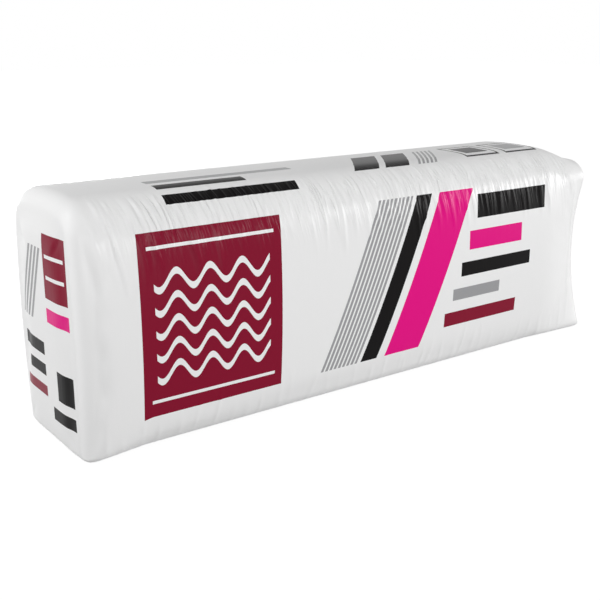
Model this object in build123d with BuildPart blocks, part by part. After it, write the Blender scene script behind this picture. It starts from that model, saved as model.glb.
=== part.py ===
from build123d import *

import os
from math import cos, pi, sin

# A poly bag of unfaced fiberglass batts, standing on its narrow side.
#
# Seven batts are each folded once, pressed flat and slid together into a tube of white
# polyethylene film. One end of the bag is a plain block end. At the other the front and back
# are tucked in at mid-height, the top and bottom film meet in a heat seal across the end, and
# the tail of that seal lies folded down.
#
# Millimetres, X along the folded batts, Y through the stack, Z up. The origin is on the floor
# under the middle of the bag, the plain end at -X and the sealed end at +X.

# The batts, as cut and as pressed in the bag
BATT_COUNT = 7
BATT_WIDTH = 406.4
BATT_LENGTH = 2438.4
LEAF_THICKNESS = 17.25
LEAF_GAP = 0.5
FOLD_RADIUS = 14.0
EDGE_SPREAD = 9.5

# The film, and how far it presses into the outer batts at the middle of the front and back
FILM_THICKNESS = 0.1
FILM_CLEARANCE = 0.3
FILM_PRESS = 2.0

# The form that the film takes round the batts
FACE_CROWN = 12.0
TOP_CROWN = 6.0
TOP_RADIUS = 62.0
BASE_RADIUS = 36.0
PLAIN_END_RADIUS = 32.0

# The sealed end: how far the tucks run back from it, how far they draw in the front and back at
# mid-height, how far the top comes down, the slack film past the ends of the batts, and the
# seal's tail with its room beside each tuck
TUCK_REACH = 160.0
TUCK_DEPTH = 45.0
TOP_DROP = 38.0
SEALED_END_RADIUS = 16.0
SEAL_SLACK = 18.0
SEAL_TAIL = 32.0
SEAL_MARGIN = 6.0

# How far before the tucks the batts start to be squeezed, and their room inside the waist
SQUEEZE_LEAD = 25.0
SQUEEZE_ROOM = 2.0

# Cross-sections along the tucks and round the sealed end
TUCK_SPANS = 5
ROUND_SPANS = 3

# Sizes that follow from the ones above
FOLDED_LENGTH = BATT_LENGTH / 2
BATT_DEPTH = 2 * LEAF_THICKNESS + LEAF_GAP
BATT_PITCH = BATT_DEPTH + LEAF_GAP
STACK_DEPTH = BATT_COUNT * BATT_PITCH - LEAF_GAP
FILL_INSET = FILM_THICKNESS + FILM_CLEARANCE
BAG_LENGTH = FOLDED_LENGTH + SEAL_SLACK + 2 * FILL_INSET
BAG_DEPTH = STACK_DEPTH - 2 * FILM_PRESS + 2 * FILL_INSET
BAG_HEIGHT = BATT_WIDTH + 2 * EDGE_SPREAD + 2 * FILL_INSET
ROUND_START = BAG_LENGTH / 2 - SEALED_END_RADIUS
TUCK_START = ROUND_START - TUCK_REACH
WAIST_HEIGHT = (BAG_HEIGHT - TOP_CROWN - TOP_DROP) / 2
WAIST_DEPTH = BAG_DEPTH - 2 * TUCK_DEPTH
SEAL_LENGTH = WAIST_DEPTH - 2 * SEALED_END_RADIUS - 2 * SEAL_MARGIN
FOLD_END = FILL_INSET - BAG_LENGTH / 2
FREE_END = FOLD_END + FOLDED_LENGTH
SQUEEZE_START = TUCK_START - SQUEEZE_LEAD
SQUEEZE = (WAIST_DEPTH - 2 * FILL_INSET - 2 * SQUEEZE_ROOM) / STACK_DEPTH


def girth_profile(position, tuck, drop, inset):
    """The bag's cross-section at one place along its length, drawn in by inset all round.

    The base is flat and the top is slightly crowned. The front and back stand out at mid-height.
    As tuck goes from 0 to 1 they draw in there instead, and as drop does the top comes down.
    """
    crown = FACE_CROWN - TUCK_DEPTH * tuck
    side = BAG_DEPTH / 2 - FACE_CROWN - inset
    base = inset
    shoulder = BAG_HEIGHT - TOP_CROWN - TOP_DROP * drop - inset
    middle = (base + shoulder) / 2
    with BuildSketch(Plane.YZ.offset(position)) as profile:
        with BuildLine():
            Line((-side, base), (side, base))
            ThreePointArc((side, base), (side + crown, middle), (side, shoulder))
            ThreePointArc((side, shoulder), (0, shoulder + TOP_CROWN), (-side, shoulder))
            ThreePointArc((-side, shoulder), (-side - crown, middle), (-side, base))
        make_face()
        fillet(profile.vertices().group_by(Axis.Y)[0], BASE_RADIUS - inset)
        fillet(profile.vertices().group_by(Axis.Y)[-1], TOP_RADIUS - inset)
    return profile.sketch


def bag_form(inset):
    """The filled bag as one soft block, drawn in by inset on every side.

    The section is even from the plain end to the tucks. From there it draws in, slowly at
    first, while the top comes down and levels out. The waisted section then rounds over onto the
    sealed end.
    """
    plain_end = BAG_LENGTH / 2 - inset
    sealed_radius = SEALED_END_RADIUS - inset

    tuck_sections = []
    for step in range(TUCK_SPANS + 1):
        share = step / TUCK_SPANS
        drop = share**2 * (3 - 2 * share)
        tuck_sections.append(girth_profile(TUCK_START + TUCK_REACH * share, share**2, drop, inset))

    round_sections = []
    for step in range(ROUND_SPANS + 1):
        angle = pi / 2 * step / ROUND_SPANS
        position = ROUND_START + sealed_radius * sin(angle)
        drawn_in = inset + sealed_radius * (1 - cos(angle))
        round_sections.append(girth_profile(position, 1, 1, drawn_in))

    with BuildPart() as form:
        extrude(girth_profile(-plain_end, 0, 0, inset), amount=plain_end + TUCK_START)
        fillet(form.faces().sort_by(Axis.X)[0].edges(), PLAIN_END_RADIUS - inset)
        loft(tuck_sections, ruled=True)
        loft(round_sections, ruled=True)
    return form.part


def squeezed_strip(start, low, high):
    """A strip of the stack seen from above, from start to the batts' free ends.

    It lies between low and high across the stack and is squeezed with it towards the tucks.
    """
    with BuildSketch() as strip:
        with BuildLine():
            Polyline(
                (start, low),
                (SQUEEZE_START, low),
                (FREE_END, low * SQUEEZE),
                (FREE_END, high * SQUEEZE),
                (SQUEEZE_START, high),
                (start, high),
                close=True,
            )
        make_face()
    return strip.sketch


os.makedirs("parts", exist_ok=True)

# The film bag, with the tail of its heat seal folded down on the sealed end
with BuildPart() as poly_bag:
    add(bag_form(0))
    add(bag_form(FILM_THICKNESS), mode=Mode.SUBTRACT)
    with BuildSketch(Plane.YZ.offset(BAG_LENGTH / 2)):
        with Locations((0, WAIST_HEIGHT)):
            Rectangle(SEAL_LENGTH, SEAL_TAIL, align=(Align.CENTER, Align.MAX))
    extrude(amount=2 * FILM_THICKNESS)

poly_bag.part.label = "poly_bag"
export_step(poly_bag.part, "parts/poly_bag.step")

# The batts, each folded on itself with its fold at the plain end, and pressed to the bag's form
fill_form = bag_form(FILL_INSET)
for number in range(1, BATT_COUNT + 1):
    middle = (number - (BATT_COUNT + 1) / 2) * BATT_PITCH
    slit = FOLD_END + LEAF_THICKNESS
    with BuildPart() as batt:
        with BuildSketch() as leaves:
            add(squeezed_strip(FOLD_END, middle - BATT_DEPTH / 2, middle + BATT_DEPTH / 2))
            fillet(leaves.vertices().group_by(Axis.X)[0], FOLD_RADIUS)
            add(squeezed_strip(slit, middle - LEAF_GAP / 2, middle + LEAF_GAP / 2), mode=Mode.SUBTRACT)
        extrude(amount=BAG_HEIGHT)
        add(fill_form, mode=Mode.INTERSECT)

    batt.part.label = f"batt_{number}"
    export_step(batt.part, f"parts/batt_{number}.step")
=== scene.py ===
from math import pi, radians

import bpy
import numpy as np
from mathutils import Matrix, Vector


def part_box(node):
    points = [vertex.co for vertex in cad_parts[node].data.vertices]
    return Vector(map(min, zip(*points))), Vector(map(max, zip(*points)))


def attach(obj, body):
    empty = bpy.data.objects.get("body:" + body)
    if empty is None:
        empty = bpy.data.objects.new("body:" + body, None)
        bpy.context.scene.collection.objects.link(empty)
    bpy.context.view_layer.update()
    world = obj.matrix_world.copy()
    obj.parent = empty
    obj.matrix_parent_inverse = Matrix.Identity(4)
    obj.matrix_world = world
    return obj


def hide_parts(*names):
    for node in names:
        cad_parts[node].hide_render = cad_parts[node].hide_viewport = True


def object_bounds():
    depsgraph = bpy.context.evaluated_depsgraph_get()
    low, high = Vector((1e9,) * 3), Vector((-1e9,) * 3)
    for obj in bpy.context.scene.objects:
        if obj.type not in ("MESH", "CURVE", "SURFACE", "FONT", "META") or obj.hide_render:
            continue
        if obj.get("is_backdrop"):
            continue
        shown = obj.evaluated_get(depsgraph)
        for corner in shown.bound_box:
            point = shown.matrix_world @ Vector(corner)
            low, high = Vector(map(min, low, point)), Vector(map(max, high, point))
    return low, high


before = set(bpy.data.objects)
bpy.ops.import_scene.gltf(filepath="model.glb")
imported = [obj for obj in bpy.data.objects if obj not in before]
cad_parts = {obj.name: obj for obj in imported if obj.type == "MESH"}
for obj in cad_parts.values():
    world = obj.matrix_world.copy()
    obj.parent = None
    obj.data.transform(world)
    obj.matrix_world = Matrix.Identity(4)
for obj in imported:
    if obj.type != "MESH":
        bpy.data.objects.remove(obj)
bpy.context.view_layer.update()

# The film bag: one web of white polyethylene rolled into a tube round the pressed batts.
# The plain end is folded square. At the sealed end the front and back are tucked in at
# mid-height, and the top and bottom are drawn together there and heat sealed.
bag_low, bag_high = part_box("poly_bag")
BAG_LENGTH = -2 * bag_low.x
BAG_DEPTH = 2 * bag_high.y
BAG_HEIGHT = bag_high.z

# How far the film stands off the batts and swells, the crowns of its faces and top, and its edges
FILM_LIFT = 0.0020
SWELL = 0.006
FACE_CROWN = 0.012
TOP_CROWN = 0.006
TOP_RADIUS = 0.062
BASE_RADIUS = 0.036
LEAST_RADIUS = 0.004

# The plain end, and the tighter base edges by it
PLAIN_END_RADIUS = 0.032
FOOT_RADIUS = 0.012
FOOT_REACH = 0.12

# The sealed end: its tucks, the drop of the top, its edges and corners, and how far it leans back.
# Then the seal, and the flaps above and below it that lie on the gussets.
TUCK_REACH = 0.160
TUCK_DEPTH = 0.045
TOP_DROP = 0.038
SEALED_END_RADIUS = 0.010
EAR_RADIUS = 0.040
END_LEAN = 0.014
SEAL_WIDTH = 0.1108
SEAL_TOP = (BAG_HEIGHT - TOP_CROWN - TOP_DROP) / 2
FLAP_FLARE = 0.042
GUSSET_SINK = 0.004
GUSSET_EDGE = 0.010
GUSSET_EASE = 10

# How much of an end's rounding the faces and the base take
FACE_TAKE = 0.5
BASE_TAKE = 0.7

# Where the straight run, the tucks and the sealed end's rounding start
RUN_START = PLAIN_END_RADIUS - BAG_LENGTH / 2
ROUND_START = BAG_LENGTH / 2 - SEALED_END_RADIUS
TUCK_START = ROUND_START - TUCK_REACH

# Steps of the web round half of the girth: base, base corner, face, top corner and top. Steps
# along it: plain end, its rounding, straight run, tucks, the other rounding and sealed end.
BASE_STEPS, BASE_TURN, FACE_STEPS, TOP_TURN, TOP_STEPS = 5, 6, 17, 8, 3
HALF_STEPS = BASE_STEPS + BASE_TURN + FACE_STEPS + TOP_TURN + TOP_STEPS
PLAIN_STEPS, PLAIN_TURN, RUN_STEPS = 7, 9, 232
TUCK_STEPS, SEALED_TURN, SEALED_STEPS = 40, 6, 14
LENGTH_STEPS = PLAIN_STEPS + PLAIN_TURN + RUN_STEPS + TUCK_STEPS + SEALED_TURN + SEALED_STEPS
FACE_SAMPLES = 400


def half_outline(tuck, drop, base_radius, top_radius, inset):
    """The film's outline across the bag, from mid-base up one face to mid-top, as its y and its z.

    It is drawn in by inset at the top, and by less at the faces and the base, whose edges are
    tighter.
    """
    crown = FACE_CROWN - TUCK_DEPTH * tuck
    side = BAG_DEPTH / 2 - FACE_CROWN + FILM_LIFT - FACE_TAKE * inset
    base = BASE_TAKE * inset
    shoulder = BAG_HEIGHT - TOP_CROWN - TOP_DROP * drop + FILM_LIFT - inset
    base_radius = max(base_radius - inset, LEAST_RADIUS)
    top_radius = max(top_radius - inset, LEAST_RADIUS)

    # The face from base to shoulder, and which way it looks
    z = np.linspace(base, shoulder, FACE_SAMPLES)
    height = 2 * (z - base) / (shoulder - base) - 1
    y = side + crown * (1 - height**2)
    look = np.arctan(4 * crown * height / (shoulder - base))

    # A corner's centre lies its radius in from the face and from the base or the top
    centre_y = y - base_radius * np.cos(look)
    centre_z = z - base_radius * np.sin(look)
    foot = np.interp(base + base_radius, centre_z, z)
    turn = np.linspace(-pi / 2, np.interp(foot, z, look), BASE_TURN + 1)
    base_corner_y = np.interp(foot, z, centre_y) + base_radius * np.cos(turn)
    base_corner_z = base + base_radius * (1 + np.sin(turn))
    base_y = np.linspace(0, base_corner_y[0], BASE_STEPS + 1)
    base_z = np.full(BASE_STEPS + 1, base)

    centre_y = y - top_radius * np.cos(look)
    centre_z = z - top_radius * np.sin(look)
    room = centre_z + top_radius - shoulder - TOP_CROWN * (1 - (centre_y / side) ** 2)
    head = np.interp(0, room, z)
    middle = np.interp(head, z, centre_y)
    top_look = pi / 2 - np.arctan(2 * TOP_CROWN * middle / side**2)
    turn = np.linspace(np.interp(head, z, look), top_look, TOP_TURN + 1)
    top_corner_y = middle + top_radius * np.cos(turn)
    top_corner_z = np.interp(head, z, centre_z) + top_radius * np.sin(turn)
    top_y = np.linspace(top_corner_y[-1], 0, TOP_STEPS + 1)
    top_z = top_corner_z[-1] + TOP_CROWN * (top_corner_y[-1] ** 2 - top_y**2) / side**2

    face_z = np.linspace(foot, head, FACE_STEPS + 1)
    face_y = np.interp(face_z, z, y)
    outline_y = [base_y, base_corner_y[1:], face_y[1:], top_corner_y[1:], top_y[1:]]
    outline_z = [base_z, base_corner_z[1:], face_z[1:], top_corner_z[1:], top_z[1:]]
    return np.concatenate(outline_y), np.concatenate(outline_z)


# Each line across the web: its place along the bag, how far it is drawn in, and how far it is
# gathered towards the middle of an end
lines = []
for step in range(PLAIN_STEPS):
    lines.append((-BAG_LENGTH / 2, PLAIN_END_RADIUS, 1 - step / PLAIN_STEPS))
for turn in np.linspace(0, pi / 2, PLAIN_TURN, endpoint=False):
    place = RUN_START - PLAIN_END_RADIUS * np.cos(turn)
    lines.append((place, PLAIN_END_RADIUS * (1 - np.sin(turn)), 0))
for place in np.linspace(RUN_START, TUCK_START, RUN_STEPS, endpoint=False):
    lines.append((place, 0, 0))
for place in np.linspace(TUCK_START, ROUND_START, TUCK_STEPS, endpoint=False):
    lines.append((place, 0, 0))
for turn in np.linspace(0, pi / 2, SEALED_TURN, endpoint=False):
    place = ROUND_START + SEALED_END_RADIUS * np.sin(turn)
    lines.append((place, SEALED_END_RADIUS * (1 - np.cos(turn)), 0))
for step in range(SEALED_STEPS + 1):
    lines.append((BAG_LENGTH / 2, SEALED_END_RADIUS, step / SEALED_STEPS))

# Towards the seal the faces draw in, the top comes down and levels out, the corners close to ears
# and the end leans back. There a flap from the top and one from the base lie on the gussets, with
# their edges from the corners to the ends of the seal. The base corners are tighter by the plain
# end too.
film = np.zeros((LENGTH_STEPS + 1, 2 * HALF_STEPS + 1, 3))
for line, (place, inset, gather) in zip(film, lines):
    share = np.clip((place - TUCK_START) / TUCK_REACH, 0, 1)
    foot = np.clip(1 - (place + BAG_LENGTH / 2) / FOOT_REACH, 0, 1)
    base_radius = BASE_RADIUS + (FOOT_RADIUS - BASE_RADIUS) * max(share, foot)
    top_radius = TOP_RADIUS + (EAR_RADIUS - TOP_RADIUS) * share
    drop = share**2 * (3 - 2 * share)
    y, z = half_outline(share**2, drop, base_radius, top_radius, inset)
    middle = (z[0] + z[-1]) / 2
    z = middle + (z - middle) * (1 - gather * 2 * y.max() / (z[-1] - z[0]))
    y = y * (1 - gather)
    line[:, 1] = np.concatenate([-y, y[-2::-1]])
    line[:, 2] = np.concatenate([z, z[-2::-1]])
    line[:, 0] = place - END_LEAN * np.clip(2 * share - 1, 0, 1) ** 2 * line[:, 2] / BAG_HEIGHT
    if share == 1:
        flap = SEAL_WIDTH / 2 + FLAP_FLARE * np.abs(line[:, 2] / SEAL_TOP - 1)
        aside = np.clip((np.abs(line[:, 1]) - flap) / GUSSET_EDGE, 0, 1)
        line[:, 0] -= GUSSET_SINK * aside * min(gather * GUSSET_EASE, 1)

# Lengths on the flat web, along the bag from its plain end and round the girth from mid-base
girth = np.linalg.norm(np.diff(film[PLAIN_STEPS + PLAIN_TURN], axis=0), axis=1)
girth = np.concatenate([[0], np.cumsum(girth)])
mid_step = BASE_STEPS + BASE_TURN + FACE_STEPS // 2
length = np.linalg.norm(np.diff(film[:, mid_step], axis=0), axis=1)
length = np.concatenate([[0], np.cumsum(length)])
length += PLAIN_END_RADIUS - length[PLAIN_STEPS + PLAIN_TURN]
GIRTH = girth[-1]
BASE_EDGE = girth[BASE_STEPS + BASE_TURN // 2]
MID_FACE = girth[mid_step]
TOP_EDGE = girth[HALF_STEPS - TOP_STEPS - TOP_TURN // 2]


def read(items, name, width, kind=float):
    """One value of every item in a mesh, as rows of the given width."""
    values = np.empty(len(items) * width, dtype=kind)
    items.foreach_get(name, values)
    return values.reshape(-1, width)


# The flat web is rolled round the batts, and its long edges and its ends are joined
JOIN_WITHIN = 0.0008
bpy.ops.object.select_all(action="DESELECT")
bpy.ops.mesh.primitive_grid_add(
    x_subdivisions=LENGTH_STEPS, y_subdivisions=2 * HALF_STEPS, size=1
)
bag = bpy.context.object
bag.name = "film_bag"
mesh = bag.data
spot = read(mesh.vertices, "co", 3)[:, :2] + 0.5
step = np.rint(spot * (LENGTH_STEPS, 2 * HALF_STEPS)).astype(int)
mesh.vertices.foreach_set("co", film[step[:, 0], step[:, 1]].ravel())
corner = read(mesh.loops, "vertex_index", 1, int)[:, 0]
flat = np.stack([length[step[corner, 0]], girth[step[corner, 1]]], axis=1)
web_map = mesh.uv_layers.active
web_map.name = "film_web"
web_map.data.foreach_set("uv", flat.ravel())
mesh.update()
bpy.ops.object.mode_set(mode="EDIT")
bpy.ops.mesh.select_all(action="SELECT")
bpy.ops.mesh.remove_doubles(threshold=JOIN_WITHIN)
bpy.ops.mesh.normals_make_consistent(inside=False)
bpy.ops.object.mode_set(mode="OBJECT")

# The pressed batts push the film out: it swells between its edges, and stays put on the floor and
# at the seal
HELD_HEIGHT = 0.004
HELD_REACH = 0.03
SWELL_FRAMES = 12
rest = read(mesh.vertices, "co", 3)
outward = read(mesh.vertices, "normal", 3)
held = (rest[:, 2] < HELD_HEIGHT) | (rest[:, 0] > ROUND_START - HELD_REACH)
bag.vertex_groups.new(name="held").add(np.flatnonzero(held).tolist(), 1, "REPLACE")
cloth = bag.modifiers.new("swell", "CLOTH")
cloth.settings.quality = 5
cloth.settings.mass = 0.1
cloth.settings.tension_stiffness = 25
cloth.settings.compression_stiffness = 25
cloth.settings.shear_stiffness = 10
cloth.settings.bending_stiffness = 0.5
cloth.settings.use_pressure = True
cloth.settings.uniform_pressure_force = 4
cloth.settings.vertex_group_mass = "held"
cloth.settings.effector_weights.gravity = 0
cloth.collision_settings.use_collision = False
for number in range(1, SWELL_FRAMES + 1):
    bpy.context.scene.frame_set(number)
bpy.ops.object.modifier_apply(modifier="swell")
bpy.context.scene.frame_set(1)
moved = read(mesh.vertices, "co", 3) - rest
pushed = np.clip(np.sum(moved * outward, axis=1, keepdims=True), 0, None)
pushed = SWELL * np.tanh(pushed / SWELL)
mesh.vertices.foreach_set("co", (rest + outward * pushed).ravel())

finer = bag.modifiers.new("finer", "SUBSURF")
finer.levels = finer.render_levels = 1
finer.uv_smooth = "NONE"
bpy.ops.object.modifier_apply(modifier="finer")

# Wrinkles: ridges of slack film, each a line on the web, with its width and its height
chance = np.random.default_rng(16)
wrinkles = []
for face in (0, 1):
    # They hang from the top edge, close together
    place = 0.03
    while place < BAG_LENGTH - 0.07:
        hang = chance.uniform(0.03, 0.12)
        drift = hang * chance.normal(0.24, 0.08)
        start = TOP_EDGE + chance.uniform(-0.01, 0.025)
        width, height = chance.uniform(0.0022, 0.0042), chance.uniform(0.0009, 0.0024)
        end = TOP_EDGE - 0.02 - hang
        wrinkles.append((face, place, start, place + drift, end, width, height))
        place += chance.uniform(0.006, 0.017)
    # Fewer and shorter ones stand on the base edge
    place = 0.04
    while place < BAG_LENGTH - 0.05:
        rise = chance.uniform(0.015, 0.06)
        drift = rise * chance.normal(0, 0.2)
        width, height = chance.uniform(0.003, 0.006), chance.uniform(0.0004, 0.0011)
        end = BASE_EDGE + 0.015 + rise
        wrinkles.append((face, place, BASE_EDGE - 0.01, place + drift, end, width, height))
        place += chance.uniform(0.012, 0.045)
    # Folds fan out from the tuck
    for rise in (-0.13, -0.09, -0.055, -0.02, 0.03, 0.06, 0.10, 0.135):
        place = TUCK_START + BAG_LENGTH / 2 + chance.uniform(0.02, 0.08)
        width, height = chance.uniform(0.006, 0.011), chance.uniform(0.0006, 0.0014)
        start, end = MID_FACE + 1.15 * rise, MID_FACE + 0.7 * rise
        wrinkles.append((face, place, start, BAG_LENGTH - 0.012, end, width, height))
    # The film is creased where the face turns onto the sealed end
    start, end = MID_FACE + 0.19, MID_FACE + 0.02
    wrinkles.append((face, BAG_LENGTH - 0.052, start, BAG_LENGTH - 0.034, end, 0.006, 0.0026))
    start, end = MID_FACE + 0.05, MID_FACE - 0.16
    wrinkles.append((face, BAG_LENGTH - 0.034, start, BAG_LENGTH - 0.050, end, 0.007, 0.0028))
# Two longer creases run down the front by the plain end
wrinkles.append((0, 0.055, TOP_EDGE + 0.005, 0.090, TOP_EDGE - 0.15, 0.0036, 0.0024))
wrinkles.append((0, 0.115, TOP_EDGE + 0.010, 0.148, TOP_EDGE - 0.115, 0.0036, 0.0024))


def ridge(across, up, start, end, width, height):
    """How far a ridge from start to end lifts the film at each point, tapering to both its ends."""
    run, rise = end[0] - start[0], end[1] - start[1]
    reach = np.hypot(run, rise)
    along = ((across - start[0]) * run + (up - start[1]) * rise) / reach**2
    aside = ((across - start[0]) * rise - (up - start[1]) * run) / reach
    return height * np.clip(4 * along * (1 - along), 0, 1) ** 0.8 * np.exp(-((aside / width) ** 2))


rest = read(mesh.vertices, "co", 3)
outward = read(mesh.vertices, "normal", 3)
web = np.zeros((len(mesh.vertices), 2))
corner = read(mesh.loops, "vertex_index", 1, int)[:, 0]
web[corner] = read(mesh.uv_layers.active.data, "uv", 2)
lift = np.zeros(len(web))
for face, s0, g0, s1, g1, width, height in wrinkles:
    if face:
        g0, g1 = GIRTH - g0, GIRTH - g1
    lift += ridge(web[:, 0], web[:, 1], (s0, g0), (s1, g1), width, height)

# The flaps on the sealed end have creased edges, and folds that fan out from the seal
CREASE_WIDTH, CREASE_HEIGHT = 0.005, 0.0030
FOLD_WIDTH = 0.0045
at_seal = np.clip((web[:, 0] - length[LENGTH_STEPS - SEALED_STEPS]) / 0.006, 0, 1)
end_y, end_z = rest[:, 1], rest[:, 2]
for side in (-1, 1):
    for top in (0.006, 2 * SEAL_TOP - 0.006):
        outer, inner = (side * 0.100, top), (side * 0.052, SEAL_TOP)
        lift += at_seal * ridge(end_y, end_z, outer, inner, CREASE_WIDTH, CREASE_HEIGHT)
        corner_up = SEAL_TOP + 0.93 * (top - SEAL_TOP)
        for start, end in ((0.014, 0.022), (0.026, 0.045), (0.040, 0.066), (0.047, 0.084)):
            inner = (side * (start * chance.uniform(0.85, 1.1)), SEAL_TOP)
            outer_y = side * (end * chance.uniform(0.85, 1.1))
            outer = (outer_y, SEAL_TOP + (corner_up - SEAL_TOP) * chance.uniform(0.55, 0.95))
            height = chance.uniform(0.0012, 0.0024)
            lift += at_seal * ridge(end_y, end_z, inner, outer, FOLD_WIDTH, height)

# Nothing lifts where the bag stands on the floor
GROUND_FADE = 0.02
grounded = np.clip(rest[:, 2] / GROUND_FADE, 0, 1)
mesh.vertices.foreach_set("co", (rest + outward * (lift * grounded)[:, None]).ravel())
bpy.ops.object.shade_smooth()


def linear(code):
    """An sRGB hex colour as linear light."""
    parts = [int(code[i:i + 2], 16) / 255 for i in (1, 3, 5)]
    return [c / 12.92 if c <= 0.04045 else ((c + 0.055) / 1.055) ** 2.4 for c in parts] + [1]


def add(tree, kind, inputs, **settings):
    """Add a node with its settings, each of its inputs set to a value or linked to a socket."""
    node = tree.nodes.new("ShaderNode" + kind)
    for name, value in settings.items():
        setattr(node, name, value)
    for name, value in inputs.items():
        if isinstance(value, bpy.types.NodeSocket):
            tree.links.new(value, node.inputs[name])
        else:
            node.inputs[name].default_value = value
    return node


# White polyethylene film, blown, stretched and printed in flat inks: an opaque white with a soft
# gloss and fine stretch marks, and colour that lies in the film and follows its wrinkles
FILM_ROUGHNESS = 0.30
FILM_IOR = 1.51
printed_film = bpy.data.materials.new("printed_polyethylene_film")
printed_film.use_nodes = True
tree = printed_film.node_tree
shader = tree.nodes["Principled BSDF"]
on_web = add(tree, "UVMap", {}, uv_map="film_web").outputs["UV"]
web_place = add(tree, "SeparateXYZ", {"Vector": on_web}).outputs
where = add(tree, "TexCoord", {}).outputs["Object"]
in_space = add(tree, "SeparateXYZ", {"Vector": where}).outputs

# Places for the print: along each face from the plain end, up it, on a slant, on a ripple, on the
# top and on the plain end. Off the plain end its places are moved far away.
SLANT = 0.42
TOP_SLANT = 0.7
RIPPLE_LENGTH, RIPPLE_HEIGHT = 0.062, 0.015
END_RIM = 0.012
FAR = 9
along = web_place["X"]
across_top = add(tree, "Math", {0: web_place["Y"], 1: GIRTH / 2}, operation="SUBTRACT").outputs[0]
down = add(tree, "Math", {0: across_top}, operation="ABSOLUTE").outputs[0]
up = add(tree, "Math", {0: GIRTH / 2 - BASE_EDGE, 1: down}, operation="SUBTRACT").outputs[0]
slanted = add(tree, "Math", {0: up, 1: -SLANT, 2: along}, operation="MULTIPLY_ADD").outputs[0]
wave = add(tree, "Math", {0: along, 1: 2 * pi / RIPPLE_LENGTH}, operation="MULTIPLY").outputs[0]
wave = add(tree, "Math", {0: wave}, operation="SINE").outputs[0]
rippled = add(tree, "Math", {0: wave, 1: RIPPLE_HEIGHT, 2: up}, operation="MULTIPLY_ADD").outputs[0]
top_slanted = add(
    tree, "Math", {0: across_top, 1: -TOP_SLANT, 2: along}, operation="MULTIPLY_ADD"
).outputs[0]
past_end = add(tree, "Math", {0: along, 1: END_RIM}, operation="GREATER_THAN").outputs[0]
end_across = add(
    tree, "Math", {0: past_end, 1: FAR, 2: in_space["Y"]}, operation="MULTIPLY_ADD"
).outputs[0]
end_up = in_space["Z"]
end_slanted = add(
    tree, "Math", {0: end_up, 1: SLANT, 2: end_across}, operation="MULTIPLY_ADD"
).outputs[0]

WHITE, CRIMSON, PINK, BLACK, GREY = "#F0F0F0", "#84122E", "#E60A84", "#0D0B0C", "#9C9C9E"
blocks = [
    # On each face: a panel with ripples
    (along, 0.105, 0.375, up, 0.045, 0.365, CRIMSON),
    (along, 0.120, 0.360, up, 0.335, 0.341, WHITE),
    (along, 0.120, 0.360, up, 0.069, 0.075, WHITE),
]
for level in (0.115, 0.155, 0.195, 0.235, 0.275):
    blocks.append((along, 0.130, 0.350, rippled, level, level + 0.012, WHITE))
# slanted ribbons
for left in np.arange(0.445, 0.525, 0.010):
    blocks.append((slanted, left, left + 0.006, up, 0.045, 0.365, GREY))
blocks += [
    (slanted, 0.540, 0.580, up, 0.045, 0.365, BLACK),
    (slanted, 0.600, 0.690, up, 0.045, 0.365, PINK),
    # bars
    (along, 0.855, 1.060, up, 0.300, 0.350, BLACK),
    (along, 0.835, 0.990, up, 0.235, 0.275, PINK),
    (along, 0.815, 1.020, up, 0.180, 0.210, BLACK),
    (along, 0.795, 0.930, up, 0.130, 0.155, GREY),
    (along, 0.775, 0.985, up, 0.075, 0.105, CRIMSON),
    # On the top: bars, slanted blocks and frames
    (along, 0.170, 0.430, across_top, -0.112, -0.092, BLACK),
    (along, 0.170, 0.340, across_top, -0.076, -0.056, BLACK),
    (along, 0.170, 0.460, across_top, -0.040, -0.020, GREY),
    (along, 0.080, 0.250, across_top, 0.066, 0.078, BLACK),
    (top_slanted, 0.630, 0.690, across_top, -0.086, 0.004, BLACK),
    (top_slanted, 0.706, 0.766, across_top, -0.086, 0.004, BLACK),
    (along, 0.868, 0.964, across_top, -0.080, 0.010, BLACK),
    (along, 0.873, 0.959, across_top, -0.074, 0.004, WHITE),
    (along, 0.884, 0.948, across_top, -0.062, -0.008, BLACK),
    (along, 0.984, 1.080, across_top, -0.080, 0.010, BLACK),
    (along, 0.989, 1.075, across_top, -0.074, 0.004, WHITE),
    (along, 1.000, 1.064, across_top, -0.062, -0.008, GREY),
    # On the plain end: a panel and bars
    (end_across, -0.098, -0.022, end_up, 0.262, 0.366, CRIMSON),
    (end_across, -0.090, -0.030, end_up, 0.294, 0.300, WHITE),
    (end_across, -0.090, -0.030, end_up, 0.328, 0.334, WHITE),
    (end_across, -0.098, -0.022, end_up, 0.222, 0.246, PINK),
    (end_across, -0.098, -0.046, end_up, 0.096, 0.146, BLACK),
    (end_across, -0.098, -0.022, end_up, 0.056, 0.078, BLACK),
    (end_across, 0.000, 0.090, end_up, 0.160, 0.182, BLACK),
    (end_across, 0.000, 0.068, end_up, 0.124, 0.144, BLACK),
    (end_across, 0.000, 0.090, end_up, 0.088, 0.106, CRIMSON),
]
# and slanted lines on the top and on the plain end
for left in np.arange(0.790, 0.840, 0.011):
    blocks.append((top_slanted, left, left + 0.006, across_top, -0.086, 0.004, GREY))
for left in np.arange(0.130, 0.180, 0.014):
    blocks.append((end_slanted, left, left + 0.008, end_up, 0.215, 0.340, GREY))

ink = linear(WHITE)
for across, left, right, upward, low, high, colour in blocks:
    middle, half = (left + right) / 2, (right - left) / 2
    wide = add(tree, "Math", {0: across, 1: middle, 2: half}, operation="COMPARE").outputs[0]
    middle, half = (low + high) / 2, (high - low) / 2
    tall = add(tree, "Math", {0: upward, 1: middle, 2: half}, operation="COMPARE").outputs[0]
    inside = add(tree, "Math", {0: wide, 1: tall}, operation="MULTIPLY").outputs[0]
    ink = add(tree, "Mix", {0: inside, 6: ink, 7: linear(colour)}, data_type="RGBA").outputs[2]
tree.links.new(ink, shader.inputs["Base Color"])

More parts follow.
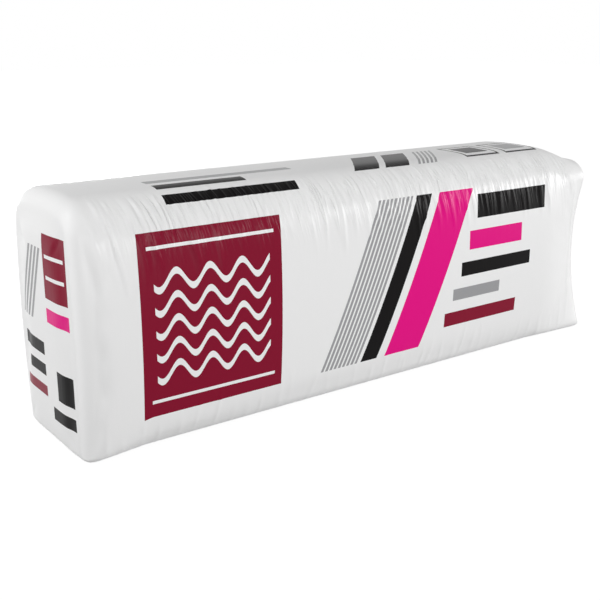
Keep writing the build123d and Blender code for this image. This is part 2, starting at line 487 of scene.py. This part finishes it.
# The dark inks are flatter than the bare film
INK_SHEEN, FILM_SHEEN = 0.06, 0.27
sheen = add(tree, "MapRange", {"Value": ink, "To Min": INK_SHEEN, "To Max": FILM_SHEEN}).outputs[0]
tree.links.new(sheen, shader.inputs["Specular IOR Level"])

# Stretch marks all over, and sharp pulls in the film that slant down from the top edges
MARK_WIDTH, MARK_LENGTH = 0.006, 0.05
MARK_SHARE = 0.15
PULL_WIDTH, PULL_LENGTH = 0.012, 0.14
PULL_SLANT = 0.24
PULL_SPREAD = 0.08
RELIEF = 0.0012
EDGE_DOWN = GIRTH / 2 - TOP_EDGE
mark_scale = (1 / MARK_WIDTH, 1 / MARK_LENGTH, 1)
stretched = add(tree, "Mapping", {"Vector": on_web, "Scale": mark_scale}).outputs[0]
marks = add(tree, "TexNoise", {"Vector": stretched, "Scale": 1, "Detail": 3}).outputs["Fac"]
pulled = add(tree, "Math", {0: down, 1: -PULL_SLANT, 2: along}, operation="MULTIPLY_ADD").outputs[0]
pulled = add(tree, "CombineXYZ", {"X": pulled, "Y": across_top}).outputs[0]
pull_scale = (1 / PULL_WIDTH, 1 / PULL_LENGTH, 1)
pulled = add(tree, "Mapping", {"Vector": pulled, "Scale": pull_scale}).outputs[0]
pulls = add(tree, "TexNoise", {"Vector": pulled, "Scale": 1, "Detail": 1}).outputs["Fac"]
pulls = add(tree, "Math", {0: pulls, 1: 0.5}, operation="SUBTRACT").outputs[0]
pulls = add(tree, "Math", {0: pulls}, operation="ABSOLUTE").outputs[0]
pulls = add(
    tree, "MapRange", {"Value": pulls, "From Max": PULL_SPREAD, "To Min": 1, "To Max": 0}
).outputs[0]

# The pulls fade in above the edge and out below it, and towards both ends of the bag
fades = [
    (down, EDGE_DOWN - 0.03, EDGE_DOWN + 0.01, 0, 1),
    (down, EDGE_DOWN + 0.02, EDGE_DOWN + 0.11, 1, 0),
    (along, 0.06, 0.14, 0, 1),
    (along, 1.16, 1.20, 1, 0),
]
for place, start, end, first, last in fades:
    limits = {"From Min": start, "From Max": end, "To Min": first, "To Max": last}
    fade = add(tree, "MapRange", {"Value": place, **limits}).outputs[0]
    pulls = add(tree, "Math", {0: pulls, 1: fade}, operation="MULTIPLY").outputs[0]
relief = add(tree, "Math", {0: marks, 1: MARK_SHARE, 2: pulls}, operation="MULTIPLY_ADD").outputs[0]
bump = add(tree, "Bump", {"Height": relief, "Strength": 1, "Distance": RELIEF}).outputs[0]
tree.links.new(bump, shader.inputs["Normal"])
shader.inputs["Roughness"].default_value = FILM_ROUGHNESS
shader.inputs["IOR"].default_value = FILM_IOR
mesh.materials.append(printed_film)
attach(bag, "root")
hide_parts("poly_bag")

# The tail of the heat seal: top and bottom film welded together between ribbed bars, with the free
# edge past the weld folded down flat on the end.
SEAL_TAIL = 0.032
TAIL_STAND = 0.0030
TAIL_WALL = 0.0006
RIB_PITCH, RIB_HEIGHT = 0.07, 0.0007
bpy.ops.object.select_all(action="DESELECT")
bpy.ops.mesh.primitive_grid_add(x_subdivisions=80, y_subdivisions=64, size=1)
tail = bpy.context.object
tail.name = "seal_tail"
spot = read(tail.data.vertices, "co", 3)
across, up = spot[:, 0], spot[:, 1]

# The weld's ribs fade out at its edges, and the free edge below them curls and ripples
weld = np.clip((up - 0.05) / 0.05, 0, 1) * np.clip((0.47 - up) / 0.04, 0, 1)
flap = np.clip(0.05 - up, 0, 1)
out = RIB_HEIGHT * weld * np.sin(up * 2 * pi / RIB_PITCH)
out += flap**2 * (0.022 + 0.010 * np.sin(7 * across + 1)) + 0.0016 * np.sin(across * 24) * flap
level = SEAL_TOP + SEAL_TAIL * (up - 0.5)
end_face = BAG_LENGTH / 2 - END_LEAN * level / BAG_HEIGHT
spot = np.stack([end_face + TAIL_STAND + out, SEAL_WIDTH * across, level], axis=1)
tail.data.vertices.foreach_set("co", spot.ravel())
tail.data.update()
wall = tail.modifiers.new("wall", "SOLIDIFY")
wall.thickness = TAIL_WALL
bpy.ops.object.modifier_apply(modifier="wall")
bpy.ops.object.shade_smooth()

# The same film, unprinted: welding leaves it a little clearer and glossier, with a faint cloud
CLOUD_SIZE = 0.012
WELD_ROUGHNESS = 0.26
plain_film = bpy.data.materials.new("welded_polyethylene_film")
plain_film.use_nodes = True
tree = plain_film.node_tree
shader = tree.nodes["Principled BSDF"]
where = add(tree, "TexCoord", {}).outputs["Object"]
cloud = add(tree, "TexNoise", {"Vector": where, "Scale": 1 / CLOUD_SIZE, "Detail": 3}).outputs["Fac"]
clear, milky = linear("#E2E2E3"), linear("#F2F2F3")
tint = add(tree, "Mix", {0: cloud, 6: clear, 7: milky}, data_type="RGBA").outputs[2]
tree.links.new(tint, shader.inputs["Base Color"])
shader.inputs["Roughness"].default_value = WELD_ROUGHNESS
shader.inputs["IOR"].default_value = FILM_IOR
tail.data.materials.append(plain_film)
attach(tail, "root")

# The batts: unfaced glass wool, each folded once and pressed inside the bag.
# Spun glass fibre, held by a binder that is dyed pink: matt, and combed along the batt. The fibres
# are drawn coarser than they are, so that they show.
BATT_COUNT = 7
FIBRE_SIZE = (0.012, 0.002, 0.004)
FIBRE_RELIEF = 0.002
glass_wool = bpy.data.materials.new("pink_glass_wool")
glass_wool.use_nodes = True
tree = glass_wool.node_tree
shader = tree.nodes["Principled BSDF"]
where = add(tree, "TexCoord", {}).outputs["Object"]
fibre_scale = [1 / size for size in FIBRE_SIZE]
combed = add(tree, "Mapping", {"Vector": where, "Scale": fibre_scale}).outputs[0]
fibre = add(tree, "TexNoise", {"Vector": combed, "Scale": 1, "Detail": 6}).outputs["Fac"]
deep, pale = linear("#CF7F95"), linear("#F4C9D2")
tint = add(tree, "Mix", {0: fibre, 6: deep, 7: pale}, data_type="RGBA").outputs[2]
tree.links.new(tint, shader.inputs["Base Color"])
bump = add(tree, "Bump", {"Height": fibre, "Strength": 0.6, "Distance": FIBRE_RELIEF}).outputs[0]
tree.links.new(bump, shader.inputs["Normal"])
shader.inputs["Roughness"].default_value = 0.95
for number in range(1, BATT_COUNT + 1):
    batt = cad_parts[f"batt_{number}"]
    batt.data.materials.clear()
    batt.data.materials.append(glass_wool)

# The floor and the air round it: a white studio. The eye sees both as plain white, straight or in
# a reflection, and to the film they give the softer light of a grey room.
FLOOR_GLOW = 0.94
ROOM_LIGHT = 0.27


def seen_share(tree):
    """1 for a ray by which the eye sees a thing, straight, mirrored or through it, and 0 if not."""
    path = add(tree, "LightPath", {}).outputs
    straight, mirrored = path["Is Camera Ray"], path["Is Glossy Ray"]
    seen = add(tree, "Math", {0: straight, 1: mirrored}, operation="MAXIMUM").outputs[0]
    through = path["Is Transmission Ray"]
    return add(tree, "Math", {0: seen, 1: through}, operation="MAXIMUM").outputs[0]


bpy.ops.object.select_all(action="DESELECT")
bpy.ops.mesh.primitive_plane_add(size=30)
floor = bpy.context.object
floor.name = "floor"
studio_floor = bpy.data.materials.new("white_studio_floor")
studio_floor.use_nodes = True
tree = studio_floor.node_tree
shader = tree.nodes["Principled BSDF"]
shader.inputs["Base Color"].default_value = linear("#585858")
shader.inputs["Roughness"].default_value = 0.9
seen = seen_share(tree)
glow = add(tree, "Math", {0: seen, 1: FLOOR_GLOW}, operation="MULTIPLY").outputs[0]
shader.inputs["Emission Color"].default_value = (1, 1, 1, 1)
tree.links.new(glow, shader.inputs["Emission Strength"])
floor.data.materials.append(studio_floor)
floor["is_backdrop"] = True

world = bpy.data.worlds.new("white_studio")
bpy.context.scene.world = world
world.use_nodes = True
tree = world.node_tree
seen = seen_share(tree)
glow = add(tree, "MapRange", {"Value": seen, "To Min": ROOM_LIGHT, "To Max": 1.0}).outputs[0]
tree.links.new(glow, tree.nodes["Background"].inputs["Strength"])
tree.nodes["Background"].inputs["Color"].default_value = (1, 1, 1, 1)

# Soft lamps: a low one in front, one past each end, a small high one for the plain end's corners
# and a low one behind. The top doesn't mirror the one past the plain end.
lamps = [
    ("front_lamp", (-0.2, -3.0, 0.35), (-0.15, 0, 0.2), 1.6, 0.5, 48),
    ("plain_end_lamp", (-3.0, 0.4, 1.35), (-0.6, 0, 0.2), 1.0, 1.2, 48),
    ("sealed_end_lamp", (3.0, -1.5, 0.55), (0.3, 0, 0.3), 1.4, 0.7, 33),
    ("high_lamp", (-1.9, -0.3, 2.2), (-0.6, 0, 0.4), 0.4, 0.4, 5),
    ("back_lamp", (0.1, 3.0, 0.2), (0, 0, 0.2), 1.8, 0.36, 26),
]
for name, place, aim, width, height, power in lamps:
    bpy.ops.object.light_add(type="AREA", location=place)
    lamp = bpy.context.object
    lamp.name = name
    lamp.data.shape = "RECTANGLE"
    lamp.data.size = width
    lamp.data.size_y = height
    lamp.data.energy = power
    lamp.visible_glossy = name != "plain_end_lamp"
    lamp.rotation_euler = (Vector(aim) - Vector(place)).to_track_quat("-Z", "Y").to_euler()

# The camera, in front of the plain end's corner and a little above the bag, where the front, the
# top and the plain end all show
CAMERA_PLACE = (-1.1309, -1.3847, 0.6642)
CAMERA_TURN = (radians(73.806), 0, radians(-36.369))
bpy.ops.object.camera_add(location=CAMERA_PLACE, rotation=CAMERA_TURN)
camera = bpy.context.object
camera.data.sensor_width = 36
camera.data.lens = 55.46
bpy.context.scene.camera = camera
bpy.context.scene.view_settings.view_transform = "Standard"

low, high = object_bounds()
